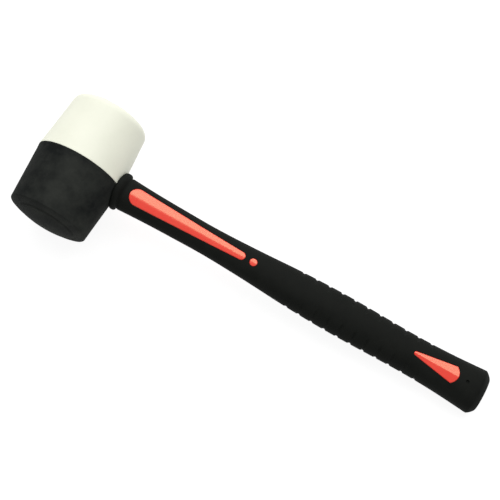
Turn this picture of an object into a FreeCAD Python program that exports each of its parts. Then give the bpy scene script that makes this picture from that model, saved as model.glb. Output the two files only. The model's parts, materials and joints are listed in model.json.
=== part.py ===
"""Rubber mallet: two-colour vulcanised head on a two-shot moulded handle with a stiff core rod.

Mallet frame, millimetres: X runs from the head's axis towards the butt, Y along the head's axis
towards the white face, Z through the handle's thickness. Every sub-part is drawn in this frame and
then gets one common Placement, which lays the mallet down on the side of its head and its butt,
with the origin at the middle of its footprint.
"""
import FreeCAD, Part
import math
import os
import Sketcher
from FreeCAD import Placement, Rotation, Vector

DIMENSIONS = {
    # head: each half is a truncated cone, widest at the seam
    "seam_radius": 32.5,
    "black_rim_radius": 29.4,
    "black_rim_height": 42.5,
    "black_crown": 5.6,
    "black_edge_round": 1.2,
    "white_rim_radius": 28.5,
    "white_rim_height": 46.4,
    "white_edge_round": 6.5,
    # socket in the head, and the tenon bonded into it
    "socket_radius": 10.0,
    "socket_depth": 24.0,
    "socket_mouth": 30.0,
    "tenon_radius": 8.6,
    "tenon_depth": 22.5,
    "barb_radius": 9.5,
    "barb_length": 6.0,
    "barb_pitch": 13.0,
    "shoulder_end": 35.0,
    # stiff rod inside the handle
    "rod_radius": 6.0,
    "rod_depth": 20.0,
    "rod_end": 300.0,
    "rod_chamfer": 0.8,
    # soft skin over the hard plastic
    "skin_thickness": 1.5,
    "body_end": 315.0,
    # collar of the skin, seated on the head
    "collar_start": 24.0,
    "collar_end": 36.0,
    "collar_half_width": 13.9,
    "collar_half_depth": 13.7,
    "collar_round": 1.8,
    # butt
    "butt_end": 320.6,
    "butt_crown_radius": 340.0,
    "butt_round": 6.5,
    # windows through the skin, on the middle of both faces
    "window_head_x": 46.9,
    "window_head_radius": 6.3,
    "window_tail_x": 128.8,
    "window_tail_radius": 3.05,
    "dot_x": 138.3,
    "dot_radius": 2.85,
    "fan_tip_x": 266.0,
    "fan_tip_radius": 1.65,
    "fan_corner_x": 295.6,
    "fan_half_width": 6.55,
    "fan_bulge": 3.45,
    "through_height": 40.0,
    # grip grooves down both edges
    "groove_first_x": 172.6,
    "groove_pitch": 10.12,
    "groove_width": 2.4,
    "groove_depth": 0.8,
    "groove_inner_y": 6.8,
    # small blind hole left by a mould pin
    "pin_mark_x": 305.7,
    "pin_mark_radius": 0.8,
}

GROOVE_COUNT = 11
BARB_COUNT = 3

# the handle's outline: place along X, half width, half depth
HANDLE_SECTIONS = {
    "root": (33.0, 12.45, 9.7),
    "throat": (46.0, 11.73, 9.35),
    "neck_a": (63.0, 11.07, 9.0),
    "neck_b": (82.0, 10.7, 8.85),
    "waist": (101.0, 10.47, 8.7),
    "rise_a": (122.0, 11.0, 9.0),
    "rise_b": (146.0, 12.2, 9.5),
    "swell_a": (166.0, 13.43, 9.95),
    "swell_b": (184.0, 14.22, 10.4),
    "belly": (208.0, 14.68, 10.8),
    "palm": (236.0, 14.33, 10.7),
    "heel": (262.0, 13.98, 10.7),
    "flare_a": (284.0, 14.45, 11.1),
    "flare_b": (304.0, 15.65, 11.8),
    "flare_c": (314.5, 16.47, 12.06),
    "butt": (326.0, 17.25, 12.2),
}

SHEET = "Dimensions"
ALONG_X = Rotation(Vector(1, 1, 1), 120)       # turns local X, Y, Z onto Y, Z, X


def cell(alias):
    return f"{SHEET}.{alias}"


def make_sheet(doc):
    """Put every driving dimension into one sheet, one alias a row."""
    sheet = doc.addObject("Spreadsheet::Sheet", SHEET)
    rows = dict(DIMENSIONS)
    for name, (place, half_width, half_depth) in HANDLE_SECTIONS.items():
        rows[f"{name}_place"] = place
        rows[f"{name}_half_width"] = half_width
        rows[f"{name}_half_depth"] = half_depth
    for row, (alias, value) in enumerate(rows.items(), start=1):
        sheet.set(f"A{row}", alias)
        sheet.set(f"B{row}", str(value))
        sheet.setAlias(f"B{row}", alias)
    doc.recompute()
    return sheet


def bind(item, **expressions):
    """Bind properties to sheet expressions; a double underscore stands for a dot."""
    for path, expression in expressions.items():
        item.setExpression(path.replace("__", "."), expression)


def body_sketch(body, name, role):
    """A sketch on one of the body's own origin planes."""
    sketch = body.newObject("Sketcher::SketchObject", name)
    plane = next(item for item in body.Origin.OriginFeatures if item.Role == role)
    sketch.AttachmentSupport = [(plane, "")]
    sketch.MapMode = "FlatFace"
    return sketch


def dimension(sketch, name, expression, *constraint):
    """Add a named dimensional constraint and drive it from the sheet."""
    index = sketch.addConstraint(Sketcher.Constraint(*constraint))
    sketch.renameConstraint(index, name)
    sketch.setExpression(f"Constraints.{name}", expression)


def edge_names(shape, wanted):
    """Names of the edges for which wanted(edge) holds."""
    names = [f"Edge{index}" for index, edge in enumerate(shape.Edges, start=1) if wanted(edge)]
    if not names:
        raise RuntimeError("no edge found to round")
    return names


def cylinder_along_x(doc, name, radius, start, end):
    """A cylinder on the X axis between two places given as sheet expressions."""
    cylinder = doc.addObject("Part::Cylinder", name)
    cylinder.Placement = Placement(Vector(), ALONG_X)
    bind(cylinder, Radius=radius, Height=f"({end}) - ({start})", Placement__Base__x=start)
    return cylinder


def combine(doc, kind, name, **links):
    """Combine objects: kind is Cut, Fuse, Common, MultiFuse or Compound."""
    result = doc.addObject(f"Part::{kind}", name)
    for link, value in links.items():
        setattr(result, link, value)
    return result


# ---------------------------------------------------------------- head

def head_blank(doc, side, sheet, crowned):
    """One half of the head before the socket, standing on the seam plane and pointing along +Y."""
    rim_radius = cell(f"{side}_rim_radius")
    rim_height = cell(f"{side}_rim_height")
    radius = sheet.get("seam_radius")
    rim = sheet.get(f"{side}_rim_radius")
    height = sheet.get(f"{side}_rim_height")
    crown = sheet.get("black_crown") if crowned else 0.0

    body = doc.addObject("PartDesign::Body", f"{side}_half_blank")
    sketch = body_sketch(body, f"{side}_half_profile", "XY_Plane")
    centre = Vector(0, 0, 0)
    seam_edge = Vector(radius, 0, 0)
    rim_edge = Vector(rim, height, 0)
    top = Vector(0, height + crown, 0)
    sketch.addGeometry(Part.LineSegment(centre, seam_edge))
    sketch.addGeometry(Part.LineSegment(seam_edge, rim_edge))
    if crowned:
        crown_radius = (rim ** 2 + crown ** 2) / (2 * crown)
        crown_centre = Vector(0, height + crown - crown_radius, 0)
        circle = Part.Circle(crown_centre, Vector(0, 0, 1), crown_radius)
        rim_angle = math.atan2(height - crown_centre.y, rim)
        sketch.addGeometry(Part.ArcOfCircle(circle, rim_angle, math.pi / 2))
    else:
        sketch.addGeometry(Part.LineSegment(rim_edge, top))
    sketch.addGeometry(Part.LineSegment(top, centre))

    sketch.addConstraint(Sketcher.Constraint("Coincident", 0, 1, -1, 1))
    for first, second in ((0, 1), (1, 2), (2, 3), (3, 0)):
        sketch.addConstraint(Sketcher.Constraint("Coincident", first, 2, second, 1))
    sketch.addConstraint(Sketcher.Constraint("Horizontal", 0))
    sketch.addConstraint(Sketcher.Constraint("Vertical", 3))
    dimension(sketch, "seam_radius", cell("seam_radius"), "DistanceX", 0, 1, 0, 2, radius)
    dimension(sketch, "rim_radius", rim_radius, "DistanceX", 0, 1, 1, 2, rim)
    dimension(sketch, "rim_height", rim_height, "DistanceY", 0, 1, 1, 2, height)
    if crowned:
        sketch.addConstraint(Sketcher.Constraint("PointOnObject", 2, 3, -2))
        total = f"{rim_height} + {cell('black_crown')}"
        dimension(sketch, "total_height", total, "DistanceY", 0, 1, 2, 2, height + crown)
    else:
        sketch.addConstraint(Sketcher.Constraint("Horizontal", 2))

    turned = body.newObject("PartDesign::Revolution", f"{side}_half_turned")
    turned.Profile = sketch
    turned.ReferenceAxis = (sketch, ["V_Axis"])
    turned.Angle = 360
    doc.recompute()

    rounded = body.newObject("PartDesign::Fillet", f"{side}_rim_round")
    at_rim = edge_names(turned.Shape, lambda edge: is_circle_at(edge, height, rim))
    rounded.Base = (turned, at_rim)
    bind(rounded, Radius=cell(f"{side}_edge_round"))
    return body


def is_circle_at(edge, height, radius):
    """True for a full circle about Y at this height with this radius."""
    if edge.Degenerated or not isinstance(edge.Curve, Part.Circle):
        return False
    same_radius = abs(edge.Curve.Radius - radius) < 0.01
    return same_radius and abs(edge.Curve.Center.y - height) < 0.01


def make_head(doc, sheet):
    """Both halves with the socket bored along their seam, and the blanks that the collar sits on."""
    black_blank = head_blank(doc, "black", sheet, crowned=True)
    black_blank.Placement = Placement(Vector(), Rotation(Vector(1, 0, 0), 180))
    white_blank = head_blank(doc, "white", sheet, crowned=False)
    past_head = f"{cell('seam_radius')} + {cell('socket_radius')}"
    bore = cylinder_along_x(doc, "socket_bore", cell("socket_radius"), f"-{cell('socket_depth')}",
                            past_head)
    halves = [
        combine(doc, "Cut", "head_black_half", Base=black_blank, Tool=bore),
        combine(doc, "Cut", "head_white_half", Base=white_blank, Tool=bore),
    ]
    return halves, [black_blank, white_blank]


# ---------------------------------------------------------------- handle

def handle_loft(doc, name, inset):
    """The handle's outer form, or the same form set in by a wall thickness (a sheet expression)."""
    rings = []
    for section in HANDLE_SECTIONS:
        ring = doc.addObject("Part::Ellipse", f"{name}_{section}")
        ring.Placement = Placement(Vector(), ALONG_X)
        bind(ring,
             MajorRadius=f"{cell(section + '_half_width')} - {inset}",
             MinorRadius=f"{cell(section + '_half_depth')} - {inset}",
             Placement__Base__x=cell(f"{section}_place"))
        rings.append(ring)
    loft = doc.addObject("Part::Loft", name)
    loft.Sections = rings
    loft.Solid = True
    loft.Ruled = False
    return loft


def butt_trim(doc):
    """What is cut off beyond the gently crowned end of the butt."""
    radius = cell("butt_crown_radius")
    centre = f"{cell('butt_end')} - {radius}"
    across = f"2 * {radius}"
    block = doc.addObject("Part::Box", "butt_block")
    bind(block, Length=across, Width=across, Height=across, Placement__Base__x=centre,
         Placement__Base__y=f"-{radius}", Placement__Base__z=f"-{radius}")
    crown = doc.addObject("Part::Cylinder", "butt_crown")
    bind(crown, Radius=radius, Height=across, Placement__Base__x=centre,
         Placement__Base__z=f"-{radius}")
    return combine(doc, "Cut", "butt_trim", Base=block, Tool=crown)


def outer_form(doc, sheet):
    """The complete outside of the handle, from inside the collar to the rounded butt."""
    raw = handle_loft(doc, "outer_loft", "0")
    trimmed = combine(doc, "Cut", "outer_trimmed", Base=raw, Tool=butt_trim(doc))
    doc.recompute()
    near_end = sheet.get("body_end")
    shape = trimmed.Shape
    at_butt = [index for index, edge in enumerate(shape.Edges, start=1)
               if edge.BoundBox.XMin > near_end and edge.BoundBox.YLength > 1]
    rounded = doc.addObject("Part::Fillet", "outer_form")
    rounded.Base = trimmed
    radius = sheet.get("butt_round")
    rounded.Edges = [(index, radius, radius) for index in at_butt]
    return rounded


def collar(doc, sheet):
    """A rounded oval disc; the head cuts its saddle out of it later."""
    rings = []
    for end in ("start", "end"):
        ring = doc.addObject("Part::Ellipse", f"collar_ring_{end}")
        ring.Placement = Placement(Vector(), ALONG_X)
        bind(ring, MajorRadius=cell("collar_half_width"), MinorRadius=cell("collar_half_depth"),
             Placement__Base__x=cell(f"collar_{end}"))
        rings.append(ring)
    disc = doc.addObject("Part::Loft", "collar_disc")
    disc.Sections = rings
    disc.Solid = True
    doc.recompute()
    end = sheet.get("collar_end")
    front = [index for index, edge in enumerate(disc.Shape.Edges, start=1)
             if abs(edge.BoundBox.XMin - end) < 0.01 and edge.BoundBox.YLength > 1]
    rounded = doc.addObject("Part::Fillet", "collar_rounded")
    rounded.Base = disc
    radius = sheet.get("collar_round")
    rounded.Edges = [(index, radius, radius) for index in front]
    return rounded


def tangent_chain(sketch, pairs):
    """Join the end of each geometry to the start of the next with tangency."""
    for first, second in pairs:
        sketch.addConstraint(Sketcher.Constraint("Tangent", first, 2, second, 1))


def padded(doc, body, sketch):
    """Raise an outline through both faces of the handle."""
    pad = body.newObject("PartDesign::Pad", f"{sketch.Name}_pad")
    pad.Profile = sketch
    pad.Midplane = True
    bind(pad, Length=cell("through_height"))
    doc.recompute()


def arc(centre_x, radius, start, end):
    circle = Part.Circle(Vector(centre_x, 0, 0), Vector(0, 0, 1), radius)
    return Part.ArcOfCircle(circle, start, end)


def point_on(centre_x, radius, angle):
    return Vector(centre_x + radius * math.cos(angle), radius * math.sin(angle), 0)


def long_window(doc, sheet):
    """Round at both ends, tapering away from the head."""
    head_x = sheet.get("window_head_x")
    head_radius = sheet.get("window_head_radius")
    tail_x = sheet.get("window_tail_x")
    tail_radius = sheet.get("window_tail_radius")
    body = doc.addObject("PartDesign::Body", "long_window")
    sketch = body_sketch(body, "long_window_outline", "XY_Plane")
    lean = math.acos((head_radius - tail_radius) / (tail_x - head_x))
    sketch.addGeometry(arc(head_x, head_radius, lean, 2 * math.pi - lean))
    sketch.addGeometry(Part.LineSegment(point_on(head_x, head_radius, -lean),
                                        point_on(tail_x, tail_radius, -lean)))
    sketch.addGeometry(arc(tail_x, tail_radius, -lean, lean))
    sketch.addGeometry(Part.LineSegment(point_on(tail_x, tail_radius, lean),
                                        point_on(head_x, head_radius, lean)))
    tangent_chain(sketch, ((0, 1), (1, 2), (2, 3), (3, 0)))
    for item in (0, 2):
        sketch.addConstraint(Sketcher.Constraint("PointOnObject", item, 3, -1))
    dimension(sketch, "head_x", cell("window_head_x"), "DistanceX", -1, 1, 0, 3, head_x)
    dimension(sketch, "tail_x", cell("window_tail_x"), "DistanceX", -1, 1, 2, 3, tail_x)
    dimension(sketch, "head_radius", cell("window_head_radius"), "Radius", 0, head_radius)
    dimension(sketch, "tail_radius", cell("window_tail_radius"), "Radius", 2, tail_radius)
    padded(doc, body, sketch)
    return body


def dot_window(doc, sheet):
    """A plain round window."""
    body = doc.addObject("PartDesign::Body", "dot_window")
    sketch = body_sketch(body, "dot_outline", "XY_Plane")
    place = sheet.get("dot_x")
    radius = sheet.get("dot_radius")
    sketch.addGeometry(Part.Circle(Vector(place, 0, 0), Vector(0, 0, 1), radius))
    sketch.addConstraint(Sketcher.Constraint("PointOnObject", 0, 3, -1))
    dimension(sketch, "dot_x", cell("dot_x"), "DistanceX", -1, 1, 0, 3, place)
    dimension(sketch, "dot_radius", cell("dot_radius"), "Radius", 0, radius)
    padded(doc, body, sketch)
    return body


def fan_window(doc, sheet):
    """A small round tip that opens to two corners joined by a bulging end."""
    tip_x = sheet.get("fan_tip_x")
    tip_radius = sheet.get("fan_tip_radius")
    corner_x = sheet.get("fan_corner_x")
    half = sheet.get("fan_half_width")
    bulge = sheet.get("fan_bulge")
    end_radius = (half ** 2 + bulge ** 2) / (2 * bulge)
    end_x = corner_x + bulge - end_radius
    reach = math.hypot(corner_x - tip_x, half)
    lean = math.atan2(half, corner_x - tip_x) + math.acos(tip_radius / reach)
    corner_angle = math.atan2(half, corner_x - end_x)

    body = doc.addObject("PartDesign::Body", "fan_window")
    sketch = body_sketch(body, "fan_outline", "XY_Plane")
    upper = Vector(corner_x, half, 0)
    lower = Vector(corner_x, -half, 0)
    sketch.addGeometry(arc(tip_x, tip_radius, lean, 2 * math.pi - lean))
    sketch.addGeometry(Part.LineSegment(point_on(tip_x, tip_radius, -lean), lower))
    sketch.addGeometry(arc(end_x, end_radius, -corner_angle, corner_angle))
    sketch.addGeometry(Part.LineSegment(upper, point_on(tip_x, tip_radius, lean)))
    tangent_chain(sketch, ((0, 1), (3, 0)))
    for first, second in ((1, 2), (2, 3)):
        sketch.addConstraint(Sketcher.Constraint("Coincident", first, 2, second, 1))
    sketch.addConstraint(Sketcher.Constraint("PointOnObject", 0, 3, -1))
    sketch.addConstraint(Sketcher.Constraint("Symmetric", 2, 1, 2, 2, -1))
    dimension(sketch, "tip_x", cell("fan_tip_x"), "DistanceX", -1, 1, 0, 3, tip_x)
    dimension(sketch, "tip_radius", cell("fan_tip_radius"), "Radius", 0, tip_radius)
    dimension(sketch, "corner_x", cell("fan_corner_x"), "DistanceX", -1, 1, 2, 2, corner_x)
    dimension(sketch, "half_width", cell("fan_half_width"), "DistanceY", -1, 1, 2, 2, half)
    half_cell = cell("fan_half_width")
    bulge_cell = cell("fan_bulge")
    radius = f"({half_cell} ^ 2 + {bulge_cell} ^ 2) / (2 * {bulge_cell})"
    dimension(sketch, "end_radius", radius, "Radius", 2, end_radius)
    padded(doc, body, sketch)
    return body


def tenon(doc):
    """The handle's end inside the head: a round tenon with barbs, and a shoulder in the mouth."""
    tip = f"-{cell('tenon_depth')}"
    pieces = [
        cylinder_along_x(doc, "tenon_core", cell("tenon_radius"), tip, cell("shoulder_end")),
        cylinder_along_x(doc, "tenon_shoulder", cell("socket_radius"), cell("socket_mouth"),
                         cell("shoulder_end")),
    ]
    for index in range(BARB_COUNT):
        barb = doc.addObject("Part::Cone", f"tenon_barb_{index + 1}")
        barb.Placement = Placement(Vector(), ALONG_X)
        bind(barb, Radius1=cell("tenon_radius"), Radius2=cell("barb_radius"),
             Height=cell("barb_length"),
             Placement__Base__x=f"{tip} + {cell('barb_length')} + {index} * {cell('barb_pitch')}")
        pieces.append(barb)
    return pieces


def make_rod(doc, sheet):
    """A round rod with chamfered ends."""
    body = doc.addObject("PartDesign::Body", "handle_core_rod")
    sketch = body_sketch(body, "rod_circle", "YZ_Plane")
    radius = sheet.get("rod_radius")
    sketch.addGeometry(Part.Circle(Vector(), Vector(0, 0, 1), radius))
    sketch.addConstraint(Sketcher.Constraint("Coincident", 0, 3, -1, 1))
    dimension(sketch, "rod_radius", cell("rod_radius"), "Radius", 0, radius)
    sketch.setExpression("AttachmentOffset.Base.z", f"-{cell('rod_depth')}")
    pad = body.newObject("PartDesign::Pad", "rod_length")
    pad.Profile = sketch
    bind(pad, Length=f"{cell('rod_end')} + {cell('rod_depth')}")
    doc.recompute()
    ends = body.newObject("PartDesign::Chamfer", "rod_ends")
    ends.Base = (pad, edge_names(pad.Shape, lambda edge: isinstance(edge.Curve, Part.Circle)))
    bind(ends, Size=cell("rod_chamfer"))
    return body


def groove_cutter(doc):
    """Eleven rings, each open across the middle of both faces, to be cut out of the skin."""
    core = handle_loft(doc, "groove_floor", cell("groove_depth"))
    slabs = []
    for index in range(GROOVE_COUNT):
        slab = doc.addObject("Part::Box", f"groove_slab_{index + 1}")
        middle = f"{cell('groove_first_x')} + {index} * {cell('groove_pitch')}"
        size = cell("through_height")
        bind(slab, Length=cell("groove_width"), Width=size, Height=size,
             Placement__Base__x=f"{middle} - {cell('groove_width')} / 2",
             Placement__Base__y=f"-{size} / 2", Placement__Base__z=f"-{size} / 2")
        slabs.append(slab)
    middle_bar = doc.addObject("Part::Box", "groove_middle_bar")
    bind(middle_bar, Length=cell("butt_end"), Width=f"2 * {cell('groove_inner_y')}",
         Height=cell("through_height"), Placement__Base__y=f"-{cell('groove_inner_y')}",
         Placement__Base__z=f"-{cell('through_height')} / 2")
    rows = combine(doc, "Compound", "groove_slabs", Links=slabs)
    keep = combine(doc, "MultiFuse", "groove_keep", Shapes=[core, middle_bar])
    return combine(doc, "Cut", "groove_cutter", Base=rows, Tool=keep)


def make_handle(doc, sheet, head_blanks):
    """The hard body with its raised windows, and the soft skin moulded round it."""
    outside = outer_form(doc, sheet)
    windows = [long_window(doc, sheet), dot_window(doc, sheet), fan_window(doc, sheet)]
    openings = combine(doc, "Compound", "window_openings", Links=windows)
    raised = combine(doc, "Common", "raised_windows", Base=openings, Tool=outside)

    inner = handle_loft(doc, "inner_loft", cell("skin_thickness"))
    body_length = doc.addObject("Part::Box", "body_length")
    size = cell("through_height")
    bind(body_length, Length=f"{cell('body_end')} - {cell('socket_mouth')}", Width=size, Height=size,
         Placement__Base__x=cell("socket_mouth"), Placement__Base__y=f"-{size} / 2",
         Placement__Base__z=f"-{size} / 2")
    jacket = combine(doc, "Common", "jacket", Base=inner, Tool=body_length)
    blank = combine(doc, "MultiFuse", "handle_body_blank", Shapes=[jacket, raised] + tenon(doc))

    bore = cylinder_along_x(doc, "rod_bore", cell("rod_radius"), f"-{cell('rod_depth')}",
                            cell("rod_end"))
    handle_body = combine(doc, "Cut", "handle_body", Base=blank, Tool=bore)

    solid_skin = combine(doc, "Fuse", "solid_skin", Base=outside, Tool=collar(doc, sheet))
    pin = doc.addObject("Part::Cylinder", "mould_pin")
    bind(pin, Radius=cell("pin_mark_radius"), Height=f"{size} / 2",
         Placement__Base__x=cell("pin_mark_x"))
    mouth_plug = cylinder_along_x(doc, "mouth_plug", cell("socket_radius"), "0",
                                  cell("socket_mouth"))
    cutters = head_blanks + [blank, groove_cutter(doc), pin, mouth_plug]
    removed = combine(doc, "Compound", "skin_cutters", Links=cutters)
    grip = combine(doc, "Cut", "grip_overmould", Base=solid_skin, Tool=removed)
    return handle_body, grip, blank


def make_adhesive(doc, tenon_blank):
    """The bond line that fills the socket round the tenon, up to its mouth."""
    fill = cylinder_along_x(doc, "socket_fill", cell("socket_radius"), f"-{cell('socket_depth')}",
                            cell("socket_mouth"))
    return combine(doc, "Cut", "socket_adhesive", Base=fill, Tool=tenon_blank)


# ---------------------------------------------------------------- rest and output

def resting_placement(sheet, pieces):
    """Lean the mallet until head and butt touch the ground; put the origin under its middle."""
    touch_x = sheet.get("flare_c_place")
    touch_depth = sheet.get("flare_c_half_depth")
    lean = math.asin(sheet.get("seam_radius") / math.hypot(touch_x, touch_depth))
    lean -= math.atan2(touch_depth, touch_x)
    turn = Rotation(Vector(0, 1, 0), math.degrees(lean))
    whole = Part.makeCompound([piece.Shape for piece in pieces])
    whole.Placement = Placement(Vector(), turn)
    box = whole.optimalBoundingBox(False)
    return Placement(Vector(-box.Center.x, -box.Center.y, -box.ZMin), turn)


def check(doc, pieces):
    """Stop before anything is written if an object failed or a sub-part isn't one valid solid."""
    for item in doc.Objects:
        if "Invalid" in item.State or "Error" in item.State:
            raise RuntimeError(f"{item.Name} failed: {item.State}")
    for piece in pieces:
        shape = piece.Shape
        if shape.isNull() or not shape.isValid():
            raise RuntimeError(f"{piece.Label} has no valid shape")
        print(f"{piece.Label}: {len(shape.Solids)} solid(s), {shape.Volume / 1000:.2f} cm3")


def main():
    doc = FreeCAD.newDocument("RubberMallet")
    sheet = make_sheet(doc)
    halves, head_blanks = make_head(doc, sheet)
    handle_body, grip, blank = make_handle(doc, sheet, head_blanks)
    pieces = halves + [handle_body, grip, make_rod(doc, sheet), make_adhesive(doc, blank)]
    doc.recompute()
    check(doc, pieces)

    lying = resting_placement(sheet, pieces)
    for piece in pieces:
        piece.Label = piece.Name
        piece.Placement = lying
    os.makedirs("parts", exist_ok=True)
    for piece in pieces:
        piece.Shape.exportStep(f"parts/{piece.Label}.step")


main()
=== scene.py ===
"""Looks of the rubber mallet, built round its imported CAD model.

Pieces are drawn in the mallet's own frame in millimetres (X from the head's axis towards the butt,
Y along the head's axis towards the white face, Z out of the handle's upper face) and placed in the
row frame by one matrix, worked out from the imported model.
"""

import json
import math

import bmesh
import bpy
import numpy as np
from mathutils import Matrix, Vector, noise
from mathutils.geometry import delaunay_2d_cdt


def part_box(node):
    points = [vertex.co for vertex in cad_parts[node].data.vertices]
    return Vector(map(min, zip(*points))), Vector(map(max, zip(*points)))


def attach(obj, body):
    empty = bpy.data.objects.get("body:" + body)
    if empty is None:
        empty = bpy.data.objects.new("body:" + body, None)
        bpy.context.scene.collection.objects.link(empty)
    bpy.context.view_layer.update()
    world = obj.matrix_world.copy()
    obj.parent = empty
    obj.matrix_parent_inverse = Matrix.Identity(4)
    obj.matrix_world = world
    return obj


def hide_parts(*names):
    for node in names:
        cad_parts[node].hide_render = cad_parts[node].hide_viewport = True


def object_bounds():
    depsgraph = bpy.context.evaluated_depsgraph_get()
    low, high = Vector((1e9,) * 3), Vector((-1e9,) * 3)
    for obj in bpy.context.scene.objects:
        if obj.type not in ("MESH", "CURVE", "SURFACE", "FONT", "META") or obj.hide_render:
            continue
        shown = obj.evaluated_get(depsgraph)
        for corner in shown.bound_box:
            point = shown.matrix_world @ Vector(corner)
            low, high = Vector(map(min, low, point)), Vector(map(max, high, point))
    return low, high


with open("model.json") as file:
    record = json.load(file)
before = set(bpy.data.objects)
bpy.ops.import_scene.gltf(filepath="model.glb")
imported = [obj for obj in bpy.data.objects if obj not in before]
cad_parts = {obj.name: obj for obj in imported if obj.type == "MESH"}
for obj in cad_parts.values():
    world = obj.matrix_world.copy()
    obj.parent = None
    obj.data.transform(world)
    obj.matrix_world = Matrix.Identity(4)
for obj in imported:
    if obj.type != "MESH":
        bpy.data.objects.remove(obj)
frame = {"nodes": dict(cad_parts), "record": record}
cad_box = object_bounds()

# ---------------------------------------------------------------- sizes, in millimetres

SEAM_RADIUS = 32.5
BLACK_RIM = (29.4, 42.5)             # radius and height of the rim before it is rounded
BLACK_CROWN = 5.6
BLACK_ROUND = 1.2
BLACK_RING = (22.3, 1.5, 0.62)       # radius, half width and depth of the ring moulded in its face
WHITE_RIM = (28.5, 46.4)
WHITE_ROUND = 6.5
SEAM_ROUND = 0.3                     # both halves are eased where they meet
SOCKET_RADIUS = 10.0
SOCKET_DEPTH = 24.0
SWELL = (0.045, 0.10)                # the head's unevenness: features per mm and depth
FINE_SWELL = (0.16, 0.035)
SWELL_TOP = 0.9                      # noise level that leaves the surface where it is
SWELL_FADE = 3.0                     # no unevenness at the seam, all of it this far from it

# the handle's outline: place along X, half width, half depth
HANDLE_SECTIONS = np.array([
    (33.0, 12.45, 9.7),
    (46.0, 11.73, 9.35),
    (63.0, 11.07, 9.0),
    (82.0, 10.7, 8.85),
    (101.0, 10.47, 8.7),
    (122.0, 11.0, 9.0),
    (146.0, 12.2, 9.5),
    (166.0, 13.43, 9.95),
    (184.0, 14.22, 10.4),
    (208.0, 14.68, 10.8),
    (236.0, 14.33, 10.7),
    (262.0, 13.98, 10.7),
    (284.0, 14.45, 11.1),
    (304.0, 15.65, 11.8),
    (314.5, 16.47, 12.06),
    (326.0, 17.25, 12.2),
])
SKIN = 1.5                           # the soft skin's thickness
COLLAR = (13.9, 13.7)                # half width and half depth
COLLAR_START = 33.4                  # where its side rises straight, past the seat on the head
COLLAR_END = 36.0
COLLAR_ROUND = 1.8
COLLAR_SEAT = ((0.0, 1.25), (0.2, 0.72), (0.62, 0.28), (1.3, 0.0))    # rise off the head, setback
SEAT_SINK = 0.12                     # the seat goes this far into the head
# crease between collar and neck: X, depth below the neck, weight of the head's saddle
CREASE = ((36.12, 0.22, 1), (36.42, 0.36, 1), (36.85, 0.30, 0.8), (37.2, 0.10, 0.4))
CREASE_LIFT = 0.05                   # raises the whole crease a little
THROAT = 37.6                        # where the neck proper starts
SHOULDER_START = 30.0                # the hard body fills the socket from here
SHOULDER_STEP = 33.0                 # up to here
SHOULDER_END = 35.0
BODY_END = 315.0
BUTT_END = 320.4
BUTT_ROUND = 4.7
BUTT_START = BUTT_END - BUTT_ROUND - 0.6
BUTT_SQUARENESS = 1.2                # 1 is a plain chamfer, 2 is a round
BUTT_REST = (314.5, 0.09)            # past this place its faces draw in at this slope, to rest flat
HEAD_SIDE = 31.4                     # X of the head's side under the collar's edges

LONG_WINDOW = (46.9, 6.3, 128.8, 3.05)    # centre and radius of the head end, then of the tail
DOT_WINDOW = (138.3, 2.85)           # centre and radius
# centre and radius of the tip, place of the corners, half width there, bulge of the end
FAN_WINDOW = (266.0, 1.65, 295.6, 6.55, 3.45)
LIP = 0.35                           # round on the skin's edge at a window
GAP = 0.07                           # dark line between skin and plastic
PROUD = 0.30                         # the plastic's ridge above the skin
TUCKED = 0.14                        # its edge below the skin
RIDGE_ROUND = 0.22                   # softness of the ridge, as a share of the half width
FAN_RIDGE_ROUND = 0.06               # the fan's ridge is crisper
ISLAND_ROUND = 0.4                   # round on the plastic's edge
ISLAND_SUNK = 2.4                    # its foot below the skin's outside
ISLAND_KEEL = 0.2                    # the foot's middle below its lowest edge
PIN_MARK = (305.7, 1.1, 1.3)         # place, radius and depth
PIN_LIP = 0.2                        # round on the mark's edge

GROOVE_FIRST = 172.6
GROOVE_PITCH = 10.12
GROOVE_COUNT = 11
GROOVE_HALF = 1.45
GROOVE_DEPTH = 0.85
GROOVE_FADE = (6.4, 1.8, 3.2)        # start from the middle line, its gain at the ends, length
GROOVE_END_LOSS = 0.30               # share of its depth that the first and last groove lack

TENON_TIP = -22.5
TENON_RADIUS = 8.6
TENON_CHAMFER = 0.6
BARB_RADIUS = 9.5
BARB_LENGTH = 6.0
BARB_PITCH = 13.0
BARB_BACK = 0.02                     # a barb drops back to the tenon over this length
BARB_COUNT = 3
ROD = (-20.0, 300.0, 6.0)            # both ends and radius
FIT = 0.02                           # air between the hard body and what holds it
BODY_CHAMFER = 0.5                   # at the hard body's butt end

HEAD_SEGMENTS = 200
BORE_SEGMENTS = 96
OVAL_SEGMENTS = 96
HEAD_SHARP = 40                      # degrees from which an edge stays sharp
SKIN_SHARP = 50
BODY_SHARP = 35

# ---------------------------------------------------------------- the mallet's own frame

MM = 0.001
mounts = {mount["name"]: mount for mount in frame["record"]["mounts"]}
head_centre = Vector(mounts["white_face"]["pos_m"]) - Vector((0, WHITE_RIM[1] * MM, 0))
rod_low, rod_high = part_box("handle_core_rod")
along = ((rod_low + rod_high) / 2 - head_centre).normalized()
across = Vector((0, 1, 0))
outward = along.cross(across)
TURN = Matrix((along, across, outward)).transposed()
TO_ROW = Matrix.Translation(head_centre) @ TURN.to_4x4() @ Matrix.Scale(MM, 4)


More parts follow.
